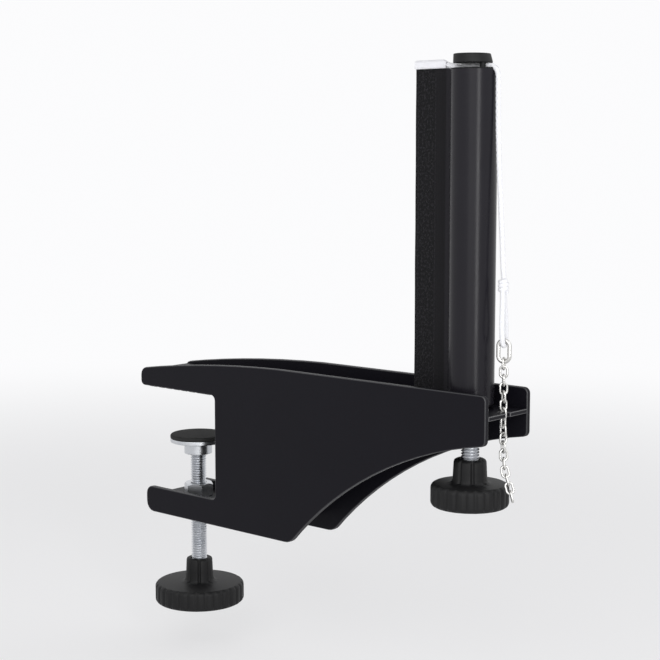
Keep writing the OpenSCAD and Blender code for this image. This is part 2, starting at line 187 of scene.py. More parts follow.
# %% [markdown]
# ## Materials
# Each finish is a small node tree on a Principled shader. The helper below keeps the trees
# short: it makes a node, feeds its sockets and hands back what comes out. Most patterns read
# Object coordinates, so they are measured in metres and stay put when a piece moves. Those
# on cloth and cord follow the piece's own map.

# %% A material under construction
class Finish:
    """A node material: its tree, its shader and the coordinates that its patterns read."""

    def __init__(self, name, roughness, metallic=0.0, specular=0.5):
        self.material = bpy.data.materials.new(name)
        self.material.use_nodes = True
        self.nodes = self.material.node_tree.nodes
        self.links = self.material.node_tree.links
        self.shader = self.nodes["Principled BSDF"]
        self.shader.inputs["Roughness"].default_value = roughness
        self.shader.inputs["Metallic"].default_value = metallic
        self.shader.inputs["Specular IOR Level"].default_value = specular
        self.place = self.nodes.new("ShaderNodeTexCoord").outputs["Object"]

    def feed(self, socket, value):
        """Link a socket's source to it, or set its number."""
        if isinstance(value, bpy.types.NodeSocket):
            self.links.new(value, socket)
        else:
            socket.default_value = value

    def math(self, operation, *values):
        made = self.nodes.new("ShaderNodeMath")
        made.operation = operation
        for socket, value in zip(made.inputs, values):
            self.feed(socket, value)
        return made.outputs[0]

    def stretched(self, x, y, z):
        """Object coordinates multiplied along each axis."""
        made = self.nodes.new("ShaderNodeMapping")
        made.inputs["Scale"].default_value = (x, y, z)
        self.links.new(self.place, made.inputs["Vector"])
        return made.outputs["Vector"]

    def noise(self, per_metre, detail=2.0, place=None):
        """Cloudy pattern from 0 to 1 with about this many spots in a metre."""
        made = self.nodes.new("ShaderNodeTexNoise")
        made.inputs["Scale"].default_value = per_metre
        made.inputs["Detail"].default_value = detail
        self.links.new(place or self.place, made.inputs["Vector"])
        return made.outputs["Fac"]

    def spread(self, value, low, high):
        """Map 0 to 1 onto low to high."""
        return self.math("MULTIPLY_ADD", value, high - low, low)

    def step_up(self, value, low, high):
        """0 below low, 1 above high and smooth between them."""
        made = self.nodes.new("ShaderNodeMapRange")
        made.interpolation_type = "SMOOTHSTEP"
        made.inputs["From Min"].default_value = low
        made.inputs["From Max"].default_value = high
        self.feed(made.inputs["Value"], value)
        return made.outputs["Result"]

    def between(self, factor, low, high):
        """A colour between two, each a socket or three linear numbers."""
        made = self.nodes.new("ShaderNodeMix")
        made.data_type = "RGBA"
        self.feed(made.inputs[0], factor)
        for socket, colour in ((made.inputs[6], low), (made.inputs[7], high)):
            self.feed(socket, colour if isinstance(colour, bpy.types.NodeSocket) else (*colour, 1.0))
        return made.outputs[2]

    def colour(self, value):
        self.feed(self.shader.inputs["Base Color"], value)

    def roughness(self, value):
        self.feed(self.shader.inputs["Roughness"], value)

    def bump(self, height, depth):
        """Raise the surface by up to this depth, in metres, where the height is 1."""
        made = self.nodes.new("ShaderNodeBump")
        made.inputs["Distance"].default_value = depth
        self.feed(made.inputs["Height"], height)
        self.links.new(made.outputs["Normal"], self.shader.inputs["Normal"])


# %% [markdown]
# ### Powder coat and smooth coat
# Powder coat melts onto steel and sets with a fine orange peel of soft bumps about a
# millimetre wide. The bevelled edges get a paler coat, a painted highlight where they catch
# the light, and the top web's edge a paler one still. The post has a thinner and smoother
# coat. A plain glossy black would look like lacquer, so one noise lifts the peel and a
# slower one makes the gloss uneven.

# %% Coats on steel
def scaled(colour, share):
    """The same colour, lighter or darker by this share."""
    return tuple(share * channel for channel in colour)


def black_coat(name, base, roughness, specular, peel_depth):
    """Baked coat on steel: soft peel, a trace of fine grain and slightly uneven gloss."""
    coat = Finish(name, roughness, specular=specular)
    peel = coat.noise(per_metre=700, detail=1.5)
    grain = coat.noise(per_metre=3600, detail=1.0)
    cloud = coat.noise(per_metre=35, detail=3.0)
    gloss = coat.noise(per_metre=120, detail=3.0)
    coat.colour(coat.between(cloud, scaled(base, 0.82), base))
    coat.roughness(coat.spread(gloss, roughness - 0.06, roughness + 0.06))
    coat.bump(coat.math("MULTIPLY_ADD", grain, 0.25, peel), peel_depth)
    return coat.material


plate_coat = black_coat(
    "black_powder_coat", (0.0062, 0.0058, 0.0088), roughness=0.44, specular=0.10, peel_depth=0.00003
)
# The paler coats for the bevelled edges are painted highlights where the edges catch the light.
edge_highlight_paint = black_coat(
    "black_coat_edge_painted_highlight", (0.0240, 0.0240, 0.0275), roughness=0.34, specular=0.42, peel_depth=0.00001
)
web_edge_highlight_paint = black_coat(
    "web_edge_painted_highlight", (0.0640, 0.0640, 0.0680), roughness=0.34, specular=0.45, peel_depth=0.00001
)
post_coat = black_coat(
    "black_post_coat", (0.0126, 0.0117, 0.0154), roughness=0.25, specular=0.17, peel_depth=0.000006
)
print("four black coats on steel")


# %% [markdown]
# ### Moulded plastic and rubber
# The knobs are moulded with a matt spark-eroded grain, and rubber is duller still, with a
# dusty bloom. Both are as black as the steel, so it is mostly the bump and the roughness
# that tell them apart, and each gets a noise of its own scale.

# %% Plastic and rubber
def moulded_plastic(name, base, roughness):
    """Matt moulded surface: a dense fine grain and faint flow marks."""
    plastic = Finish(name, roughness, specular=0.22)
    grain = plastic.noise(per_metre=2600, detail=2.0)
    flow = plastic.noise(90, 2.0, plastic.stretched(1.0, 1.0, 0.25))
    plastic.colour(plastic.between(flow, base, scaled(base, 1.35)))
    plastic.roughness(plastic.spread(grain, roughness - 0.08, roughness + 0.08))
    plastic.bump(grain, depth=0.00003)
    return plastic.material


def rubber(name, base):
    """Dull rubber with a dusty bloom on it."""
    surface = Finish(name, roughness=0.85, specular=0.25)
    bloom = surface.noise(per_metre=150, detail=4.0)
    surface.colour(surface.between(bloom, base, scaled(base, 1.7)))
    surface.roughness(surface.spread(bloom, low=0.78, high=0.92))
    surface.bump(surface.noise(per_metre=1800, detail=2.0), depth=0.00004)
    return surface.material


knob_plastic = moulded_plastic("knob_plastic", (0.0056, 0.0056, 0.0060), roughness=0.55)
black_rubber = rubber("pad_rubber", (0.0140, 0.0140, 0.0140))
print("plastic and rubber are ready")


# %% [markdown]
# ### Zinc and nickel
# Zinc plate on a turned screw is bright with a cold tint, clouded a little, and its fine
# tool marks run round the axis. Rings drawn one by one would look ruled, so a noise is
# squeezed along Z instead. Nickel wire is a little warmer.

# %% Bright metals
def plated(name, low, high, roughness, rings):
    """Plated steel: cloudy colour, uneven polish and tool marks round the vertical axis."""
    metal = Finish(name, roughness, metallic=1.0)
    cloud = metal.noise(per_metre=220, detail=3.0)
    marks = metal.noise(1.0, 2.0, metal.stretched(60, 60, rings))
    metal.colour(metal.between(cloud, low, high))
    metal.roughness(metal.spread(marks, roughness - 0.08, roughness + 0.10))
    metal.bump(marks, depth=0.000006)
    return metal.material


zinc = plated("zinc_plate", (0.47, 0.49, 0.52), (0.66, 0.67, 0.69), roughness=0.30, rings=5000)
nickel = plated("nickel_wire", (0.50, 0.495, 0.48), (0.70, 0.695, 0.675), roughness=0.27, rings=900)
print("zinc and nickel are ready")


# %% [markdown]
# ### Woven and braided cloth
# A plain weave passes each thread over one and under the next. Its height is a row of
# humps along one thread where it is on top, and across it where the other is. The maps are
# in metres along the cloth, so a pitch in millimetres can be used as it is.

# %% Plain weave
THREAD_CROSSING = 0.15


def plain_weave(cloth, across, along, pitch):
    """Height of a weave with this thread pitch: the warp's humps and the weft's, by turns."""
    warp_wave = cloth.math("SINE", cloth.math("MULTIPLY", across, math.pi / pitch))
    weft_wave = cloth.math("SINE", cloth.math("MULTIPLY", along, math.pi / pitch))
    over = cloth.math("MULTIPLY", warp_wave, weft_wave)
    warp_on_top = cloth.step_up(over, -THREAD_CROSSING, THREAD_CROSSING)
    weft_on_top = cloth.math("SUBTRACT", 1.0, warp_on_top)
    warp = cloth.math("MULTIPLY", cloth.math("ABSOLUTE", warp_wave), warp_on_top)
    weft = cloth.math("MULTIPLY", cloth.math("ABSOLUTE", weft_wave), weft_on_top)
    return cloth.math("ADD", warp, weft)


# %% Webbing and tape
FADE = 0.3 * MM
PALE_STRIP_FROM, PALE_STRIP_TO = 5.6 * MM, 6.6 * MM


def woven(name, low, high, pitch, depth, fuzz, sheen, hem=None):
    """Plain weave of this thread pitch on the piece's own map, with a fuzzy sheen.

    Up to the hem, knots of thread stand up from the cloth. Beyond it, the threads are fine
    and dense, so the cloth is smooth there, and its last millimetres are paler.
    """
    cloth = Finish(name, roughness=0.9, specular=0.2)
    cloth.shader.inputs["Sheen Weight"].default_value = sheen
    cloth.shader.inputs["Sheen Roughness"].default_value = 0.5
    split = cloth.nodes.new("ShaderNodeSeparateXYZ")
    texture_map = cloth.nodes.new("ShaderNodeTexCoord").outputs["UV"]
    cloth.links.new(texture_map, split.inputs["Vector"])
    across, along = split.outputs["X"], split.outputs["Y"]
    weave = plain_weave(cloth, across, along, pitch)
    hairs = cloth.noise(2500, 3.0, texture_map)
    # Painted shade: the weave's height darkens its hollows and pales the threads' crowns. This is mixed
    # with the hairs' own tone.
    hair_tone_and_weave_shade = cloth.math("MULTIPLY_ADD", hairs, fuzz, cloth.math("MULTIPLY", weave, 1.0 - fuzz))
    height = cloth.math("MULTIPLY_ADD", hairs, 0.3, weave)
    colour = cloth.between(hair_tone_and_weave_shade, low, high)
    if hem:
        tufts = cloth.step_up(cloth.noise(900, 1.0, texture_map), 0.48, 0.66)
        # Painted shade on the knots too: they are paler where the weave stands high.
        knots_with_weave_shade = cloth.between(cloth.math("MULTIPLY", tufts, weave), low, high)
        smooth_part = cloth.step_up(across, hem - FADE, hem + FADE)
        # The cloth's last millimetres, beside the post, are paler.
        pale_strip = cloth.step_up(across, hem + PALE_STRIP_FROM, hem + PALE_STRIP_TO)
        plain = cloth.between(pale_strip, scaled(high, 0.42), scaled(high, 0.95))
        colour = cloth.between(smooth_part, knots_with_weave_shade, plain)
        coarse = cloth.math("MULTIPLY", cloth.math("SUBTRACT", 1.0, smooth_part), tufts)
        height = cloth.math("MULTIPLY_ADD", coarse, 1.5, cloth.math("MULTIPLY", height, 0.35))
    cloth.colour(colour)
    cloth.bump(height, depth)
    return cloth.material


band_cloth = woven(
    "band_webbing", (0.0030, 0.0030, 0.0038), (0.0170, 0.0160, 0.0195), pitch=0.85 * MM,
    depth=0.0002, fuzz=0.35, sheen=0.04, hem=10.2 * MM,
)
tape_cloth = woven(
    "tape_cotton", (0.70, 0.70, 0.74), (0.92, 0.92, 0.95), pitch=0.45 * MM,
    depth=0.00008, fuzz=0.3, sheen=0.2,
)
print("webbing and tape are ready")


# %% Braid
def braided(name):
    """White cord: the strands are in the mesh, and the threads of each are drawn here."""
    cord_cloth = Finish(name, roughness=0.75, specular=0.3)
    cord_cloth.shader.inputs["Sheen Weight"].default_value = 0.25
    texture_map = cord_cloth.nodes.new("ShaderNodeTexCoord").outputs["UV"]
    stretch = cord_cloth.nodes.new("ShaderNodeMapping")
    stretch.inputs["Scale"].default_value = (14.0, 900.0, 1.0)
    cord_cloth.links.new(texture_map, stretch.inputs["Vector"])
    threads = cord_cloth.noise(1.6, 3.0, stretch.outputs["Vector"])
    stains = cord_cloth.noise(per_metre=90, detail=2.0)
    clean = cord_cloth.between(threads, (0.70, 0.71, 0.75), (0.88, 0.89, 0.92))
    cord_cloth.colour(cord_cloth.between(stains, clean, (0.80, 0.80, 0.82)))
    cord_cloth.bump(threads, depth=0.00006)
    return cord_cloth.material


cord_braid = braided("cord_braid")
print(len(bpy.data.materials), "materials so far")

# %% [markdown]
# ## The tension cord
# The cord comes out of the net's top tape, crosses the post in its groove and runs down the
# outer side to an eye in a ring. It could be a bevelled curve, but it has to stretch as the
# post rises, so it is a mesh tube along the route's points, with the braid's strands raised.

# %% The cord's route
CORD_D = 2.2 * MM
CHAIN_X = 169.4
RING_TURN = math.radians(20)
EYE_BOTTOM = 37.1
KNOT = (168.7, 0.0, 62.0)
over_top = [
    (138.5, 0, 154.2), (139.2, 0, 154.2), (140.4, 0, 153.95), (141.9, 0.1, 153.5),
    (143.6, 0.3, 153.25), (146, 0.6, 153.2), (150, 0.8, 153.2), (155, 0.8, 153.2),
    (159.4, 0.8, 153.2), (161, 0.8, 153.05), (162.4, 0.8, 152.35), (163.5, 0.8, 151.1),
    (164.1, 0.8, 149.4), (164.2, 0.8, 146),
]
down_side = [
    (164.3, 0.8, 138), (164.5, 0.7, 131), (164.8, 0.6, 124), (165.2, 0.5, 117),
    (165.6, 0.4, 110), (166.1, 0.3, 103), (166.6, 0.3, 96), (167.1, 0.2, 89),
    (167.6, 0.2, 82), (168, 0.1, 75), (168.4, 0.1, 69), (168.6, 0.4, 65),
]
eye_side = [
    (1.2, 61.5), (1.4, 57.5), (2, 53), (2.8, 48), (3.1, 43.5), (2.8, 40.2), (1.7, 37.9),
]


def eye_point(side, z):
    """Point of the eye, at this distance to one side of its middle line."""
    lean = (z - EYE_BOTTOM) / (KNOT[2] - EYE_BOTTOM) * (KNOT[0] - CHAIN_X)
    return (CHAIN_X - side * math.sin(RING_TURN) + lean, side * math.cos(RING_TURN), z)


route = over_top + down_side + [eye_point(side, z) for side, z in eye_side]
route += [eye_point(0, EYE_BOTTOM)] + [eye_point(-side, z) for side, z in reversed(eye_side)]
route = [Vector(point) * MM for point in route]


def smooth_path(points, step):
    """Points about a step apart on a smooth curve through the given ones."""
    path = []
    for i in range(len(points) - 1):
        before = points[max(i - 1, 0)]
        here, there = points[i], points[i + 1]
        after = points[min(i + 2, len(points) - 1)]
        length = (there - here).length
        leave = (there - before) * length / max((there - before).length, length)
        arrive = (after - here) * length / max((after - here).length, length)
        count = max(1, round(length / step))
        for k in range(count):
            t = k / count
            path.append(
                here * (2 * t**3 - 3 * t**2 + 1) + leave * (t**3 - 2 * t**2 + t)
                + there * (3 * t**2 - 2 * t**3) + arrive * (t**3 - t**2)
            )
    return path + [points[-1]]


def path_length(path):
    return sum((b - a).length for a, b in zip(path, path[1:]))


cord_path = smooth_path(route, 0.45 * MM)
print("the cord is", round(path_length(cord_path) / MM, 1), "mm long")


# %% [markdown]
# The tube is a ring of points at each step of the path, square to the way the path runs. Each
# ring takes its direction over from the last one, so the tube never twists, and its map
# counts metres along it for the braid's threads.

# %% A tube along a path
def tube(name, path, radius_at, sides):
    """Closed tube along a path. Its map is 0 to 1 round it and metres along it."""
    mesh = bmesh.new()
    texture_map = mesh.loops.layers.uv.new("UVMap")
    sideways, travelled, rings = Vector((0, 1, 0)), 0.0, []
    for i, point in enumerate(path):
        heading = (path[min(i + 1, len(path) - 1)] - path[max(i - 1, 0)]).normalized()
        sideways = (sideways - sideways.dot(heading) * heading).normalized()
        upwards = heading.cross(sideways)
        travelled += (point - path[i - 1]).length if i else 0.0
        ring = []
        for k in range(sides):
            angle = 2 * math.pi * k / sides
            out = sideways * math.cos(angle) + upwards * math.sin(angle)
            ring.append(mesh.verts.new(point + out * radius_at(angle, travelled)))
        rings.append((ring, travelled))
    for (low, v_low), (high, v_high) in zip(rings, rings[1:]):
        for k in range(sides):
            n = (k + 1) % sides
            face = mesh.faces.new((low[k], low[n], high[n], high[k]))
            corners = ((k, v_low), (k + 1, v_low), (k + 1, v_high), (k, v_high))
            for loop, (u, v) in zip(face.loops, corners):
                loop[texture_map].uv = (u / sides, v)
            face.smooth = True
    mesh.faces.new(reversed(rings[0][0]))
    mesh.faces.new(rings[-1][0])
    data = bpy.data.meshes.new(name)
    mesh.to_mesh(data)
    mesh.free()
    piece = bpy.data.objects.new(name, data)
    scene.collection.objects.link(piece)
    return piece


# %% The braid
BRAID_STRANDS = 4
BRAID_LAY = 5.2 * MM
MEAN_RISE = 0.45
CORD_SIDES = 24
STRAND_DEPTH = 0.11 * MM


def braid_radius(mean, depth):
    """Radius of a braid: strands that wind both ways, with hollows between them."""
    def radius_at(angle, travelled):
        turn = 2 * math.pi * travelled / BRAID_LAY * BRAID_STRANDS / 2
        right = math.cos(BRAID_STRANDS * angle + turn)
        left = math.cos(BRAID_STRANDS * angle - turn)
        return mean + depth * (max(right, left) - MEAN_RISE)
    return radius_at


cord_radius = braid_radius(CORD_D / 2, STRAND_DEPTH)
tension_cord = tube("tension_cord_braid", cord_path, cord_radius, CORD_SIDES)
print("the cord has", len(tension_cord.data.polygons), "faces")

# %% [markdown]
# ### The knot
# The knot that closes the eye is a few turns of the same cord round its two strands. A
# helix of three tight turns shows the real winding, where a bead would only stand for it.

# %% The knot
WRAPS = 3
WRAP_RISE = 1.62 * MM
WRAP_R = 1.42 * MM
WRAP_CORD_R = 0.92 * MM
STEPS_ROUND = 28
KNOT_SIDES = 20
knot_path = []
for k in range(WRAPS * STEPS_ROUND + 1):
    angle = 2 * math.pi * k / STEPS_ROUND
    rise = (k / STEPS_ROUND - WRAPS / 2) * WRAP_RISE
    turn_point = Vector((WRAP_R * math.cos(angle), WRAP_R * math.sin(angle), rise))
    knot_path.append(Vector(KNOT) * MM + turn_point)
wrap_radius = braid_radius(WRAP_CORD_R, 0.06 * MM)
knot = tube("cord_knot_wraps", knot_path, wrap_radius, KNOT_SIDES)
dress(knot, "bracket", "white_cord", cord_braid, "cord_knot")

# %% [markdown]
# ### The cord's finish
# On the clamp, the eye stays with the ring on the bracket, and the top goes up and down with
# the post. Here the cord gets the braid's finish, and the packed cord it replaces is hidden.

# %% The cord's finish
tension_cord.data.materials.append(cord_braid)
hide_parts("tension_cord")
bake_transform(tension_cord)
print("the cord leaves at", [round(part / MM, 1) for part in route[0]], "mm")

# %% [markdown]
# ## Steel parts with rounded edges
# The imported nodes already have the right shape, but their edges are knife-sharp, and no
# coated edge is. A copy is merged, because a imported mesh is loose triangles. Its flat faces
# are dissolved into one face each, and a narrow bevel turns the edges round.


# %% Rounded copies
MERGED_WITHIN = 1e-6
FLAT_WITHIN = math.radians(0.6)


def rounded_copy(node, suffix, width, segments=2, degrees=30, finishes=()):
    """Copy of a node, merged and with rounded edges. A second finish goes on the edges."""
    work_on(nodes[node])
    bpy.ops.object.duplicate()
    piece = bpy.context.active_object
    piece.name = node + suffix
    piece.data.name = node + suffix
    bpy.ops.object.parent_clear(type="CLEAR_KEEP_TRANSFORM")
    del piece["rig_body"]
    del piece["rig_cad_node"]
    piece.data.materials.clear()
    for finish in finishes:
        piece.data.materials.append(finish)
    bpy.ops.object.mode_set(mode="EDIT")
    bpy.ops.mesh.select_all(action="SELECT")
    bpy.ops.mesh.remove_doubles(threshold=MERGED_WITHIN)
    bpy.ops.mesh.customdata_custom_splitnormals_clear()
    bpy.ops.mesh.dissolve_limited(angle_limit=FLAT_WITHIN)
    bpy.ops.object.mode_set(mode="OBJECT")
    if width:
        bpy.ops.object.shade_smooth()
        apply_modifier(
            piece, "BEVEL", width=width, segments=segments, limit_method="ANGLE",
            angle_limit=math.radians(degrees), harden_normals=True, use_clamp_overlap=False,
            material=1 if len(finishes) > 1 else -1,
        )
    else:
        smooth(piece, degrees)
    return piece


# %% Steel and hidden parts
# node, body, slot, finish, width of the rounded edge in millimetres
ROUNDED_PARTS = [
    ("front_side_plate", "bracket", "black_powder_coat", plate_coat, 0.45),
    ("rear_side_plate", "bracket", "black_powder_coat", plate_coat, 0.45),
    ("top_web", "bracket", "black_powder_coat", plate_coat, 0.4),
    ("throat_web", "bracket", "black_powder_coat", plate_coat, 0.3),
    ("lower_web", "bracket", "black_powder_coat", plate_coat, 0.3),
    ("guide_tube", "bracket", "zinc_plate", zinc, 0.3),
    ("pressure_plate", "clamp_foot", "zinc_plate", zinc, 0.35),
    ("post_tube", "post", "black_post", post_coat, 0.25),
    ("post_foot", "post", "black_plastic", knob_plastic, 0.2),
    ("post_core", "post", "black_plastic", knob_plastic, 0.3),
    ("post_plug", "post", "black_plastic", knob_plastic, 0.15),
    ("retaining_clip", "height_screw", "zinc_plate", zinc, 0.1),
]
for node, body, slot, material, width in ROUNDED_PARTS:
    # The bevelled edges of the plates and webs take a paler coat, a painted highlight, palest on the
    # top web.
    edges = web_edge_highlight_paint if node == "top_web" else edge_highlight_paint
    finishes = (plate_coat, edges) if material == plate_coat else (material,)
    part = rounded_copy(node, "_rounded", width * MM, finishes=finishes)
    dress(part, body, slot, material, node)

# %% [markdown]
# ## The two screws
# Both are M8 screws, and a real one shows its thread. A bump could draw the rings, but the
# silhouette would stay straight. So one pitch of the thread's profile is wound up by a Screw
# modifier, and a bisect cuts both ends square and closes them.

# %% Threaded rod
PITCH = 1.25 * MM
CREST_R = 3.97 * MM
ROOT_R = 3.28 * MM
THREAD_STEPS = 32
THREAD_PROFILE = [(ROOT_R, 0.0), (CREST_R, 0.40), (CREST_R, 0.56), (ROOT_R, 0.96), (ROOT_R, 1.0)]


def threaded_rod(name, x, low, high):
    """Rod with a real helical thread from low to high."""
    data = bpy.data.meshes.new(name)
    profile = [(r, 0, z * PITCH) for r, z in THREAD_PROFILE]
    data.from_pydata(profile, [(i, i + 1) for i in range(len(profile) - 1)], [])
    rod = bpy.data.objects.new(name, data)
    scene.collection.objects.link(rod)
    rod.location = (x, 0, low - 1.5 * PITCH)
    turns = math.ceil((high - low) / PITCH) + 3
    apply_modifier(
        rod, "SCREW", axis="Z", angle=2 * math.pi, screw_offset=PITCH, iterations=turns,
        steps=THREAD_STEPS, render_steps=THREAD_STEPS, use_merge_vertices=True,
    )
    bpy.ops.object.transform_apply(location=True, rotation=True, scale=True)
    bpy.ops.object.mode_set(mode="EDIT")
    bpy.ops.mesh.select_all(action="SELECT")
    bpy.ops.mesh.remove_doubles(threshold=MERGED_WITHIN)
    for height, side in ((high, 1), (low, -1)):
        bpy.ops.mesh.select_all(action="SELECT")
        bpy.ops.mesh.bisect(
            plane_co=(x, 0, height), plane_no=(0, 0, side), use_fill=True, clear_outer=True
        )
    bpy.ops.mesh.select_all(action="SELECT")
    bpy.ops.mesh.normals_make_consistent(inside=False)
    bpy.ops.object.mode_set(mode="OBJECT")
    smooth(rod, 25)
    return rod


# %% [markdown]
# The heads, pins and bores are turned on a lathe, so their rims are never sharp: a cylinder
# gets a bevel round both end faces. A hexagon head has its corners chamfered by the same
# lathe, which is what its overlap with a bevelled round gives.

# %% Rounds and hexagons
HEX_R = 13 * MM / 2 / math.cos(math.radians(30))
HEX_CHAMFER = 1.1 * MM


def cylinder(name, x, low, high, radius, sides=48, edge=0.2 * MM, segments=2):
    """Upright round with its two rims bevelled."""
    bpy.ops.mesh.primitive_cylinder_add(
        vertices=sides, radius=radius, depth=high - low, location=(x, 0, (low + high) / 2)
    )
    piece = added(name)
    bpy.ops.object.mode_set(mode="EDIT")
    bpy.ops.mesh.select_mode(type="FACE")
    bpy.ops.mesh.select_all(action="DESELECT")
    mesh = bmesh.from_edit_mesh(piece.data)
    for face in mesh.faces:
        face.select = abs(face.normal.z) > 0.9
    bmesh.update_edit_mesh(piece.data)
    bpy.ops.mesh.bevel(offset=edge, segments=segments, affect="EDGES")
    bpy.ops.mesh.select_mode(type="VERT")
    bpy.ops.object.mode_set(mode="OBJECT")
    smooth(piece)
    return piece


def hexagon(name, x, low, high):
    """Hexagon prism with the round chamfer that a lathe cuts on its corners."""
    bpy.ops.mesh.primitive_cylinder_add(
        vertices=6, radius=HEX_R, depth=high - low, location=(x, 0, (low + high) / 2)
    )
    prism = added(name)
    turned = cylinder(name + "_turned", x, low, high, HEX_R * 1.01, 64, HEX_CHAMFER, 1)
    apply_modifier(prism, "BOOLEAN", operation="INTERSECT", object=turned, solver="EXACT")
    bpy.data.objects.remove(turned)
    smooth(prism, 20)
    return prism


# %% Screws
HEAD_H = 5.3 * MM
THREAD_FROM = 5.2 * MM
PIN_R = 3 * MM
RIVET_R = 4.5 * MM
RIVET_H = 1.2 * MM


def screw(name, x, head_low, shoulder, pin_top):
    """Screw from its hexagon head up to the shoulder, with a turned pin above it."""
    head = hexagon(name + "_head", x, head_low, head_low + HEAD_H)
    thread = threaded_rod(name + "_thread", x, head_low + THREAD_FROM, shoulder)
    pin = cylinder(name + "_pin", x, shoulder - 1 * MM, pin_top, PIN_R)
    return joined(name, [thread, head, pin])


screw_low, screw_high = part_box("clamp_screw")
clamp_screw = screw("clamp_screw_threaded", clamp_x, screw_low.z, foot_low.z, screw_high.z)
rivet_low = screw_high.z - RIVET_H
rivet = cylinder("clamp_screw_rivet", clamp_x, rivet_low, screw_high.z, RIVET_R, edge=0.4 * MM)
clamp_screw = joined("clamp_screw_threaded", [clamp_screw, rivet])
dress(clamp_screw, "clamp_screw", "zinc_plate", zinc, "clamp_screw")
core_low, core_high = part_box("post_core")
screw_low, screw_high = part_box("height_screw")
height_screw = screw("height_screw_threaded", post_x, screw_low.z, core_low.z, screw_high.z)
dress(height_screw, "height_screw", "zinc_plate", zinc, "height_screw")

# %% [markdown]
# ## Weld nuts
# A nut is a hexagon whose corners a lathe has chamfered, with a bore. The bore is cut by a
# Boolean, which is quicker here than building the faces round a hole.


# %% Nuts
BORE_R = 4.05 * MM


def weld_nut(name, node, x):
    """Nut in the place of its node, with a plain bore for the thread."""
    low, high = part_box(node)
    nut = hexagon(name, x, low.z, high.z)
    bore = cylinder(name + "_bore", x, low.z - MM, high.z + MM, BORE_R)
    apply_modifier(nut, "BOOLEAN", operation="DIFFERENCE", object=bore, solver="EXACT")
    bpy.data.objects.remove(bore)
    smooth(nut, 20)
    dress(nut, "bracket", "zinc_plate", zinc, node)


weld_nut("clamp_nut_hex", "clamp_nut", clamp_x)
weld_nut("height_nut_hex", "height_nut", post_x)

# %% [markdown]
# ## The knobs
# A knob is one moulding: a disc with a ribbed rim and a fluted hub. A lathe outline could
# be spun, but then the ribs need a Boolean each. Here a ring of vertices is extruded from
# level to level, and the vertices of each groove are then scaled in towards the axis.

# %% Rings and grooves
def extruded_rings(name, x, profile, around):
    """Ring of vertices at the profile's first point, extruded through all the others."""
    first_r, first_z = profile[0]
    bpy.ops.mesh.primitive_circle_add(vertices=around, radius=first_r, location=(x, 0, first_z))
    piece = added(name)
    bpy.ops.object.mode_set(mode="EDIT")
    bpy.ops.mesh.select_all(action="SELECT")
    for (r, z), (next_r, next_z) in zip(profile, profile[1:]):
        bpy.ops.mesh.extrude_region_move(TRANSFORM_OT_translate={"value": (0, 0, next_z - z)})
        share = next_r / r
        bpy.ops.transform.resize(value=(share, share, 1), center_override=(x, 0, next_z))
    return piece


def scale_in(piece, x, chosen, share):
    """Scale the chosen vertices towards the vertical axis at x, in edit mode."""
    pick(piece, chosen)
    bpy.ops.transform.resize(value=(share, share, 1), center_override=(x, 0, 0))


def groove(piece, x, count, around, half_width, depth, low, high, inner, outer):
    """Press upright grooves into the vertices between two heights and two radii."""
    per_groove = around // count

    def slot_of(co):
        angle = math.atan2(co.y, co.x - x) / (2 * math.pi) * around
        return min(round(angle) % per_groove, -round(angle) % per_groove)

    mean_r = (inner + outer) / 2
    for k in range(half_width):
        share = 1 - depth / mean_r * math.cos(math.pi / 2 * k / half_width)

        def in_groove(co):
            r = math.hypot(co.x - x, co.y)
            return low <= co.z <= high and inner <= r <= outer and slot_of(co) == k

        scale_in(piece, x, in_groove, share)


# %% [markdown]
# The outline starts in the bore, runs out under the plug's pocket and round the rim, and
# climbs the hub back to the bore. Its two rim edges are quarter rounds of 2 mm.

# %% Knob outline
DISC_H = 10 * MM
RIM_ROUND = 2 * MM
RIM_ARC = [math.radians(18 * k) for k in range(6)]
KNOB_BORE_R = 4.02 * MM
POCKET_R = 9 * MM
POCKET_H = 2 * MM


def knob_outline(disc_r, hub_r, base, top):
    """Radius and height of each ring, from the bore out and up round the knob."""
    arc_x = disc_r - RIM_ROUND
    disc_top = base + DISC_H
    upper_z = disc_top - RIM_ROUND
    arcs = [(RIM_ROUND * math.sin(a), RIM_ROUND * math.cos(a)) for a in RIM_ARC]
    return [
        (KNOB_BORE_R, base + POCKET_H), (POCKET_R + 0.05 * MM, base + POCKET_H),
        (POCKET_R + 0.05 * MM, base + 0.4 * MM), (POCKET_R + 0.5 * MM, base),
        *[(arc_x + sine, base + RIM_ROUND - cosine) for sine, cosine in arcs],
        *[(arc_x + cosine, upper_z + sine) for sine, cosine in arcs],
        (hub_r + 3.0 * MM, disc_top - 0.05 * MM), (hub_r + 1.2 * MM, disc_top + 0.15 * MM),
        (hub_r + 0.35 * MM, disc_top + 0.8 * MM), (hub_r, disc_top + 1.8 * MM),
        (hub_r - 0.2 * MM, (disc_top + top) / 2), (hub_r - 0.4 * MM, top - 1.2 * MM),
        (hub_r - 0.7 * MM, top - 0.4 * MM), (hub_r - 1.4 * MM, top),
        (KNOB_BORE_R + 0.3 * MM, top), (KNOB_BORE_R, top - 0.3 * MM),
    ]


# %% Knobs
RIB_STEPS = 8
RIB_DEPTH = 0.55 * MM
FLUTES = 8
FLUTE_DEPTH = 0.75 * MM


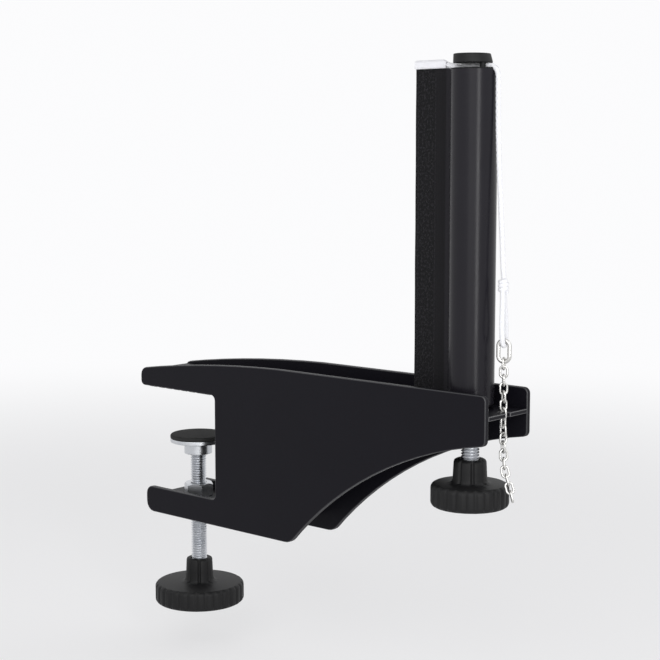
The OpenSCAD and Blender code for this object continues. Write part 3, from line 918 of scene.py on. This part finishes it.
def knob(name, node, body, x, ribs, hub_d, hub_h):
    """Knob with a ribbed rim and a fluted hub, round the screw at x."""
    low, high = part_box(node)
    disc_r = (high.x - low.x) / 2
    hub_r = hub_d * MM / 2
    base, disc_top = low.z, low.z + DISC_H
    top = disc_top + hub_h * MM
    around = ribs * RIB_STEPS
    piece = extruded_rings(name, x, knob_outline(disc_r, hub_r, base, top), around)
    pick(piece, lambda co: math.hypot(co.x - x, co.y) < KNOB_BORE_R + 0.001 * MM)
    bpy.ops.mesh.bridge_edge_loops()
    rim = disc_r - RIM_ROUND * 0.6
    groove(piece, x, ribs, around, 2, RIB_DEPTH, base - MM, disc_top, rim, disc_r + MM)
    hub_low, hub_high = disc_top + 0.6 * MM, top - 0.2 * MM
    inside, outside = hub_r - MM, hub_r + MM
    groove(piece, x, FLUTES, around, around // 48, FLUTE_DEPTH, hub_low, hub_high, inside, outside)
    bpy.ops.mesh.select_all(action="SELECT")
    bpy.ops.mesh.normals_make_consistent(inside=False)
    bpy.ops.object.mode_set(mode="OBJECT")
    smooth(piece, 40)
    dress(piece, body, "black_plastic", knob_plastic, node)


knob("clamp_knob_ribbed", "clamp_knob", "clamp_screw", clamp_x, ribs=30, hub_d=14, hub_h=12.5)
knob("height_knob_ribbed", "height_knob", "height_screw", post_x, ribs=24, hub_d=15, hub_h=10.6)


# %% [markdown]
# ### Knob plugs
# The plugs snap over the screw heads from below. Each is a shallow dish with a raised rim. A
# disc could be inset and pushed in, but a ring extruded along the outline, as for the knobs,
# gives the rounded rim at once. A face then closes each end.

# %% Knob plugs
PLUG_SIDES = 64


def knob_plug(name, node, body, x):
    """Shallow dish over the screw's head, in the place of its node."""
    low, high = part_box(node)
    radius = (high.x - low.x) / 2
    profile = [
        (radius - 2.6 * MM, low.z + 0.5 * MM), (radius - 2.2 * MM, low.z + 0.1 * MM),
        (radius - 1.9 * MM, low.z), (radius - 0.6 * MM, low.z),
        (radius - 0.15 * MM, low.z + 0.15 * MM), (radius, low.z + 0.5 * MM), (radius, high.z),
    ]
    plug = extruded_rings(name, x, profile, PLUG_SIDES)
    bpy.ops.mesh.edge_face_add()
    floor_z, floor_r = low.z + 0.5 * MM, radius - 2 * MM
    pick(plug, lambda co: abs(co.z - floor_z) < 0.01 * MM and math.hypot(co.x - x, co.y) < floor_r)
    bpy.ops.mesh.edge_face_add()
    bpy.ops.mesh.select_all(action="SELECT")
    bpy.ops.mesh.normals_make_consistent(inside=False)
    bpy.ops.object.mode_set(mode="OBJECT")
    smooth(plug, 30)
    dress(plug, body, "black_plastic", knob_plastic, node)


knob_plug("clamp_knob_plug_dished", "clamp_knob_plug", "clamp_screw", clamp_x)
knob_plug("height_knob_plug_dished", "height_knob_plug", "height_screw", post_x)

# %% [markdown]
# ## Rubber pads
# The pads keep the steel off the table's paint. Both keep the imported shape, and the row of
# notches in the jaw pad's sides is part of it. All that moulding adds is a soft edge, which
# is a bevel's work.

# %% Pads
for node, body, width in (("jaw_pad", "bracket", 0.35), ("pressure_pad", "clamp_foot", 0.3)):
    pad = rounded_copy(node, "_moulded", width * MM)
    dress(pad, body, "black_rubber", black_rubber, node)

# %% [markdown]
# ## Chain and ring
# The links are bent wire, welded shut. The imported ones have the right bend, so each is
# merged and shaded smoothly, and the nickel finish does the rest.

# %% Chain
WIRE_PARTS = {"tension_chain": "bracket", "tension_ring": "bracket", "chain_tail": "chain_tail"}
for node, body in WIRE_PARTS.items():
    links = rounded_copy(node, "_wire", 0, degrees=60)
    dress(links, body, "nickel_chain", nickel, node)

# %% [markdown]
# ## The cap
# The cap holds the cord in its groove. It is a shallow moulding that stands upright towards
# the net and leans in on the outer side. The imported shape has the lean, so a bevel of three
# segments for the moulded edges is enough.

# %% Cap
cap = rounded_copy("cord_cap", "_moulded", 0.3 * MM, segments=3)
dress(cap, "post", "black_plastic", knob_plastic, "cord_cap")


# %% [markdown]
# ## The net's end band
# The band is a strip of coarse webbing. Its inner edge wraps a plastic rod, which can't pass
# through the post's slot. The cross-section is drawn once and pulled up along Z. At the other
# edge, stitches hold the net's mesh between the band's two layers.

# %% A sheet from its cross-section
RIPPLE_REACH = 12 * MM
RIPPLE_LENGTH = 22 * MM
RIPPLE_PLACE = 3.7


def swept_sheet(name, section, low, high, levels, thickness, wave=0.0):
    """Sheet with this cross-section in X and Y, pulled up from low to high."""
    mesh = bmesh.new()
    texture_map = mesh.loops.layers.uv.new("UVMap")
    along = [0.0]
    for a, b in zip(section, section[1:]):
        along.append(along[-1] + (b - a).length)
    rows = []
    for level in range(levels + 1):
        z = low + (high - low) * level / levels
        row = []
        for point, s in zip(section, along):
            free = max(0.0, 1 - s / RIPPLE_REACH)
            shift = wave * free * noise.noise(Vector((0.0, RIPPLE_PLACE, z / RIPPLE_LENGTH)))
            row.append(mesh.verts.new((point.x, point.y + shift, z)))
        rows.append((row, z))
    for (below, z_below), (above, z_above) in zip(rows, rows[1:]):
        for i in range(len(section) - 1):
            face = mesh.faces.new((below[i], below[i + 1], above[i + 1], above[i]))
            corners = ((i, z_below), (i + 1, z_below), (i + 1, z_above), (i, z_above))
            for loop, (k, z) in zip(face.loops, corners):
                loop[texture_map].uv = (along[k], z)
            face.smooth = True
    data = bpy.data.meshes.new(name)
    mesh.to_mesh(data)
    mesh.free()
    piece = bpy.data.objects.new(name, data)
    scene.collection.objects.link(piece)
    apply_modifier(piece, "SOLIDIFY", thickness=thickness, offset=0.0)
    smooth(piece, 40)
    return piece


# %% Flat part of the band
BAND_T = 0.95 * MM
BAND_COLUMNS = 22
BAND_LEVELS = 120
BAND_RIPPLE = 0.2 * MM
CORD_CLEARANCE = 0.15 * MM
in_slot = post_low.x + 1.3 * MM
flat_w = in_slot - band_low.x
flat_part = [
    Vector((band_low.x + flat_w * k / BAND_COLUMNS, 0, 0)) for k in range(BAND_COLUMNS + 1)
]
band = swept_sheet(
    "end_band_flat", flat_part, band_low.z, band_high.z, BAND_LEVELS, BAND_T, BAND_RIPPLE
)

# %% [markdown]
# Where the cord comes out of the tape and dips to the post's groove, the band's top edge is
# pressed down under it. Each column of the band is moved, one by one, as far as the cord asks.

# %% The band's top edge under the cord
work_on(band)
bpy.ops.object.mode_set(mode="EDIT")
for column in flat_part:
    above = min(cord_path, key=lambda point: abs(point.x - column.x))
    under_cord = above.z - CORD_D / 2 - CORD_CLEARANCE
    if column.x > tape_high.x and under_cord < band_high.z:
        pick(band, lambda co: abs(co.x - column.x) < 0.1 * MM and co.z > band_high.z - 0.1 * MM)
        bpy.ops.transform.translate(value=(0, 0, under_cord - band_high.z))
bpy.ops.object.mode_set(mode="OBJECT")
print("the band is", len(band.data.polygons), "faces so far")

# %% Sleeve round the rod
SLEEVE_T = 0.38 * MM
SLEEVE_SIDES = 20
SLEEVE_LEVELS = 60
rod_low, rod_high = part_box("band_rod")
rod_x = (rod_low.x + rod_high.x) / 2
sleeve_r = (rod_high.x - rod_low.x) / 2 + 0.2 * MM
sleeve = [Vector((in_slot, 0, 0))]
for k in range(SLEEVE_SIDES + 1):
    angle = math.pi - 2 * math.pi * k / SLEEVE_SIDES
    sleeve.append(Vector((rod_x + sleeve_r * math.cos(angle), sleeve_r * math.sin(angle), 0)))
sleeve_part = swept_sheet(
    "end_band_sleeve", sleeve, rod_low.z, rod_high.z, SLEEVE_LEVELS, SLEEVE_T
)
band = joined("end_band_webbing", [band, sleeve_part])
dress(band, "post", "black_webbing", band_cloth, "net_end_band")

nodes["band_rod"].data.materials.clear()
nodes["band_rod"].data.materials.append(knob_plastic)


# %% [markdown]
# ## The top tape
# A white cotton tape is folded over the net's top cord. Its cross-section is an upturned U,
# swept along the net. Only its short end beside the post belongs to this part.

# %% The tape's cross-section
TAPE_T = 0.4 * MM
TAPE_HALF = (tape_high.y - tape_low.y) / 2 - TAPE_T / 2
TAPE_ROUND = 1.3 * MM
tape_top = tape_high.z - TAPE_T / 2
tape_bottom = tape_low.z + TAPE_T / 2 + 0.02 * MM


def tape_section():
    """Up one side from its turned-in hem, over the cord, and down the other."""
    side = [(-0.15 * MM, tape_bottom), (-0.7 * MM, tape_bottom), (-1.2 * MM, tape_bottom + 0.06 * MM)]
    foot = tape_bottom + 0.4 * MM
    rise = tape_top - TAPE_ROUND - foot
    side += [(-TAPE_HALF, foot + rise * k / 4) for k in range(5)]
    bend = []
    for k in range(1, 9):
        angle = math.pi - math.pi * k / 9
        bend.append((TAPE_HALF * math.cos(angle), tape_top - TAPE_ROUND + TAPE_ROUND * math.sin(angle)))
    return side + bend + [(-y, z) for y, z in reversed(side)]


section = [Vector((z, y, 0)) for y, z in tape_section()]
print("the tape's cross-section has", len(section), "points")


# %% [markdown]
# The sheet is pulled up along Z as the band was, and then turned to lie along the net. Its
# open end is drawn together round the cord, a little more at each step.

# %% Tape
TAPE_LEVELS = 24
GATHERS = ((1.7 * MM, 0.95), (1.0 * MM, 0.90), (0.3 * MM, 0.86))
tape = swept_sheet("top_tape_fold", section, -tape_high.x, -tape_low.x, TAPE_LEVELS, TAPE_T)
work_on(tape)
bpy.ops.object.mode_set(mode="EDIT")
bpy.ops.mesh.select_all(action="SELECT")
bpy.ops.transform.rotate(value=math.pi / 2, orient_axis="Y", center_override=(0, 0, 0))
for reach, share in GATHERS:
    pick(tape, lambda co: co.x > tape_high.x - reach)
    bpy.ops.transform.resize(value=(1, (1 + share) / 2, share), center_override=(0, 0, tape_low.z))
bpy.ops.object.mode_set(mode="OBJECT")
dress(tape, "post", "white_cotton", tape_cloth, "net_tape_end")

# %% The cord inside the tape
CORE_STEPS = 30
CORE_SIDES = 16
tape_l = tape_high.x - tape_low.x
core_path = [
    Vector((tape_low.x + tape_l * k / CORE_STEPS, 0, route[0].z)) for k in range(CORE_STEPS + 1)
]
core_radius = braid_radius(CORD_D / 2 - 0.12 * MM, 0.04 * MM)
core = tube("cord_in_tape", core_path, core_radius, CORE_SIDES)
dress(core, "post", "white_cord", cord_braid)


# %% [markdown]
# ### Stitches
# Two rows of stitches on each face hold the band's layers together. A bump would vanish at
# the edge, so each stitch is a short hump of thread, a small flattened ball that is sunk into
# the cloth at both ends.

# %% Stitches
STITCH_PITCH = 2.6 * MM
STITCH_SIZE = (0.28 * MM, 0.22 * MM, 0.40 * STITCH_PITCH)
STITCH_COLUMNS = (1.6 * MM, 10.8 * MM)
ROW_MARGIN = 2 * MM


def stitch_row(name, x, face_y):
    """Row of stitches up one face of the band."""
    row = []
    count = int((band_high.z - band_low.z - 2 * ROW_MARGIN) / STITCH_PITCH)
    for k in range(count):
        place = (x, face_y, band_low.z + ROW_MARGIN + STITCH_PITCH * (k + 0.5))
        bpy.ops.mesh.primitive_uv_sphere_add(segments=8, ring_count=6, radius=1.0, location=place)
        bpy.context.active_object.scale = STITCH_SIZE
        row.append(added(name + str(k)))
    return joined(name, row)


rows = []
for column in STITCH_COLUMNS:
    for side in (-1, 1):
        rows.append(stitch_row("band_stitch", band_low.x + column, side * BAND_T / 2))
stitches = joined("band_stitches", rows)
smooth(stitches, 80)
dress(stitches, "post", "black_webbing", band_cloth)

# %% [markdown]
# ## Floor
# The clamp hangs over a pale floor that catches its shadow, as it does from a table. Near
# the clamp the floor is plain paint, and further out it turns into the background's own
# white, so no horizon cuts the picture.

# %% Floor
PALE = (0.97, 0.97, 0.98)
FLOOR_PLACE = (0.07, 0, -0.132)
bpy.ops.mesh.primitive_circle_add(vertices=96, radius=6.0, fill_type="NGON", location=FLOOR_PLACE)
floor = added("pale_floor")
paint = Finish("floor_paint", 0.9, specular=0.1)
paint.colour(paint.between(paint.noise(3, 2.0), (0.86, 0.86, 0.87), (0.88, 0.88, 0.89)))
glow = paint.nodes.new("ShaderNodeEmission")
glow.inputs["Color"].default_value = (*PALE, 1.0)
mixer = paint.nodes.new("ShaderNodeMixShader")
distance = paint.nodes.new("ShaderNodeVectorMath")
distance.operation = "LENGTH"
paint.links.new(paint.place, distance.inputs[0])
outwards = paint.step_up(distance.outputs["Value"], 0.35, 1.1)
paint.links.new(paint.spread(outwards, 0.58, 1.0), mixer.inputs[0])
paint.links.new(paint.shader.outputs[0], mixer.inputs[1])
paint.links.new(glow.outputs[0], mixer.inputs[2])
paint.links.new(mixer.outputs[0], paint.nodes["Material Output"].inputs["Surface"])
floor.data.materials.append(paint.material)
print("the floor lies", round(FLOOR_PLACE[2] / MM), "mm below the table top")

# %% [markdown]
# ## Background
# The world lights the clamp gently from all sides, but looks white itself. Light Path tells
# the rays apart: those of the camera and those in gloss and glass see the full white, and
# the rest see less than half of it.

# %% Background
world = bpy.data.worlds.new("studio")
scene.world = world
world.use_nodes = True
sky = world.node_tree
light_path = sky.nodes.new("ShaderNodeLightPath")
seen = sky.nodes.new("ShaderNodeMath")
seen.operation = "MAXIMUM"
sky.links.new(light_path.outputs["Is Camera Ray"], seen.inputs[0])
sky.links.new(light_path.outputs["Is Glossy Ray"], seen.inputs[1])
seen_too = sky.nodes.new("ShaderNodeMath")
seen_too.operation = "MAXIMUM"
sky.links.new(seen.outputs[0], seen_too.inputs[0])
sky.links.new(light_path.outputs["Is Transmission Ray"], seen_too.inputs[1])
level = sky.nodes.new("ShaderNodeMapRange")
level.inputs["To Min"].default_value = 0.45
level.inputs["To Max"].default_value = 1.0
sky.links.new(seen_too.outputs[0], level.inputs["Value"])
background = sky.nodes["Background"]
background.inputs["Color"].default_value = (*PALE, 1.0)
sky.links.new(level.outputs[0], background.inputs["Strength"])


# %% [markdown]
# ## Lights
# A large soft light from above the camera and a wide dim one behind it shade the post's
# round side. A tall narrow one beside them draws its long highlight, and one from behind
# keeps the back from going dark.

# %% Lights
def soft_light(name, place, target, width, height, watts):
    """Rectangular area light at a place, turned towards its target."""
    data = bpy.data.lights.new(name, "AREA")
    data.shape = "RECTANGLE"
    data.size = width
    data.size_y = height
    data.energy = watts
    lamp = bpy.data.objects.new(name, data)
    scene.collection.objects.link(lamp)
    lamp.location = place
    lamp.rotation_euler = (Vector(target) - Vector(place)).to_track_quat("-Z", "Y").to_euler()
    print(name, "gives", watts, "W from", width, "by", height, "m")


soft_light("key_light", (0.45, -1.05, 0.70), (0.06, 0, 0.0), 0.9, 0.9, 4.7)
soft_light("wide_light", (0.70, -0.95, 0.30), (post_x, 0, 0.08), 0.7, 0.9, 1.9)
soft_light("fill_light", (0.9, 0.9, 0.9), (0.06, 0, 0.0), 0.9, 0.9, 2.7)
soft_light("post_light", (post_x + 0.84, -0.51, 0.10), (post_x, 0, 0.08), 0.20, 1.0, 5.3)
